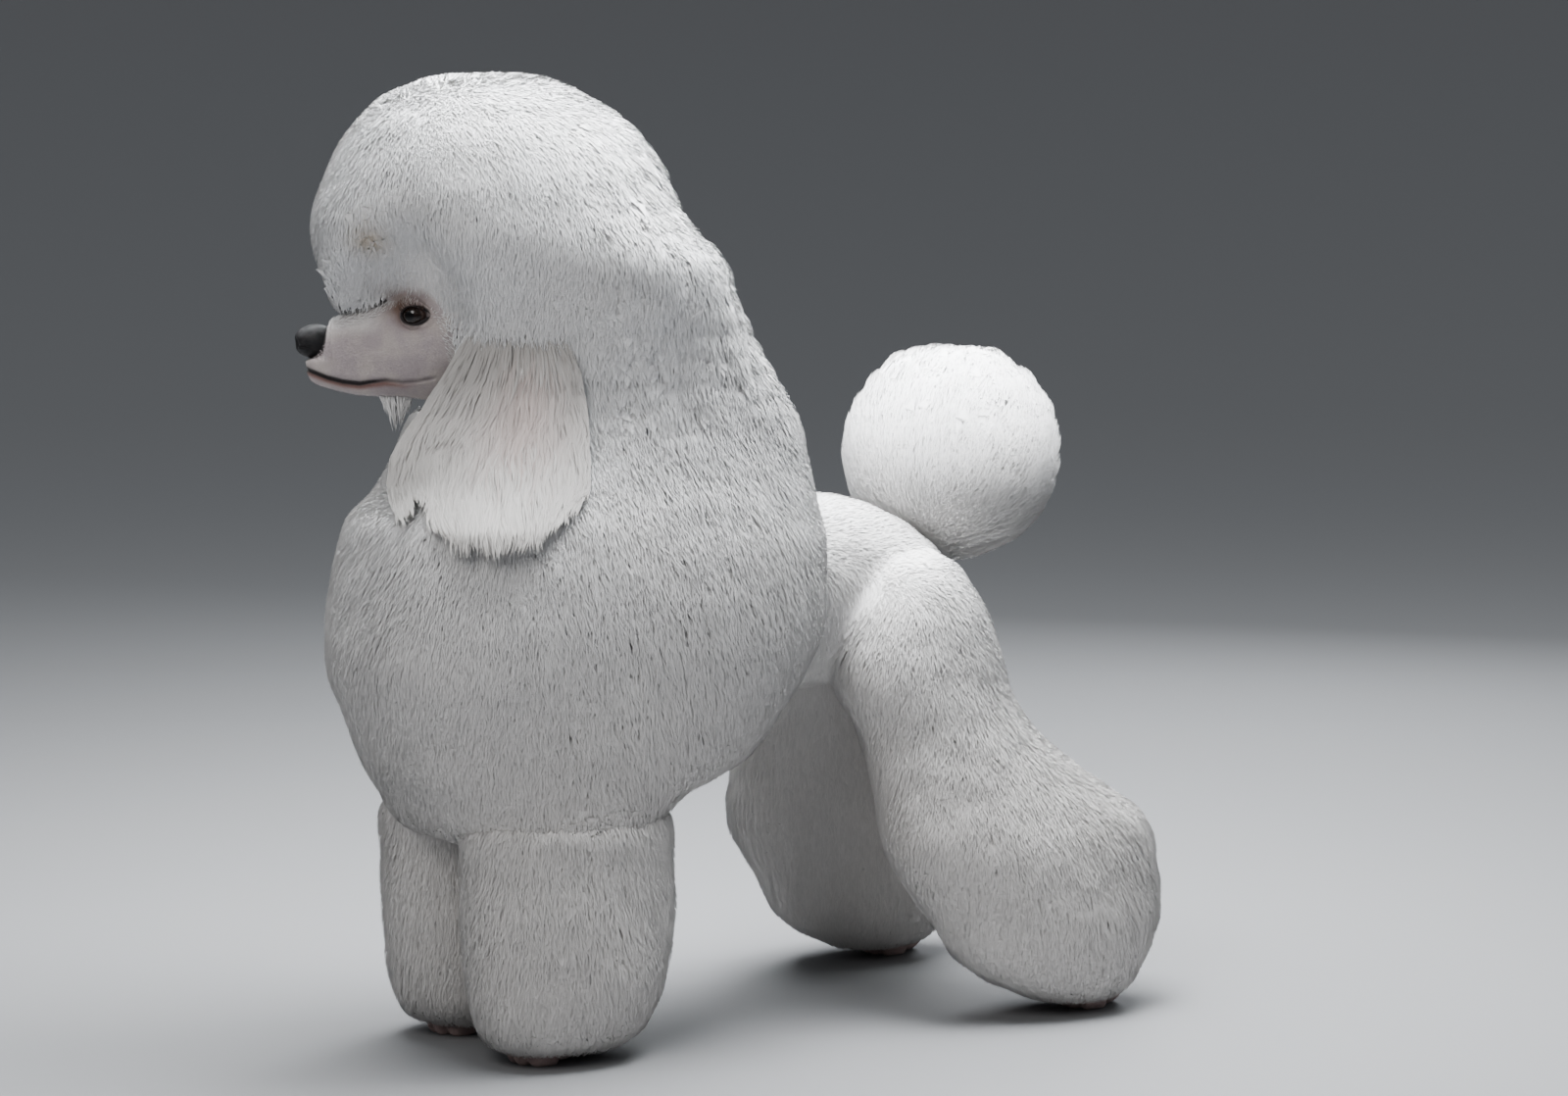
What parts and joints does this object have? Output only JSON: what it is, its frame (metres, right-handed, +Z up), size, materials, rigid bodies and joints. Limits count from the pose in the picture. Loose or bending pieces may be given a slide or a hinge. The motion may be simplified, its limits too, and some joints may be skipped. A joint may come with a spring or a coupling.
{
  "type": "standard poodle model",
  "caption": "Life-size still model of a white standard poodle standing in a scissored show clip, head turned to its right.",
  "frame": {"origin": "on the floor under the middle of the model's bounding box", "axes": "+Z up; the dog's body faces -X, with its left side towards -Y and its head turned to its right, towards +Y"},
  "size_m": [0.9328, 0.5142, 1.0329],
  "materials": {
    "coat": "white brushed-out poodle coat, matt and soft",
    "clipped_coat": "short clipped white hair with pinkish grey skin showing through",
    "nose_leather": "near-black nose leather, slightly moist",
    "eye": "very dark brown, wet gloss"
  },
  "bodies": {
    "root": {"head": "clipped_coat", "nose": "nose_leather", "topknot": "coat", "neck": "coat", "chest": "coat", "loin": "clipped_coat", "rump": "clipped_coat", "tail_base": "clipped_coat", "tail_pom": "coat", "ear_left": "coat", "ear_right": "coat", "eye_left": "eye", "eye_right": "eye", "foreleg_left": "coat", "foreleg_right": "coat", "forefoot_left": "clipped_coat", "forefoot_right": "clipped_coat", "thigh_left": "clipped_coat", "thigh_right": "clipped_coat", "hindleg_left": "coat", "hindleg_right": "coat", "hindfoot_left": "clipped_coat", "hindfoot_right": "clipped_coat"}
  },
  "joints": []
}
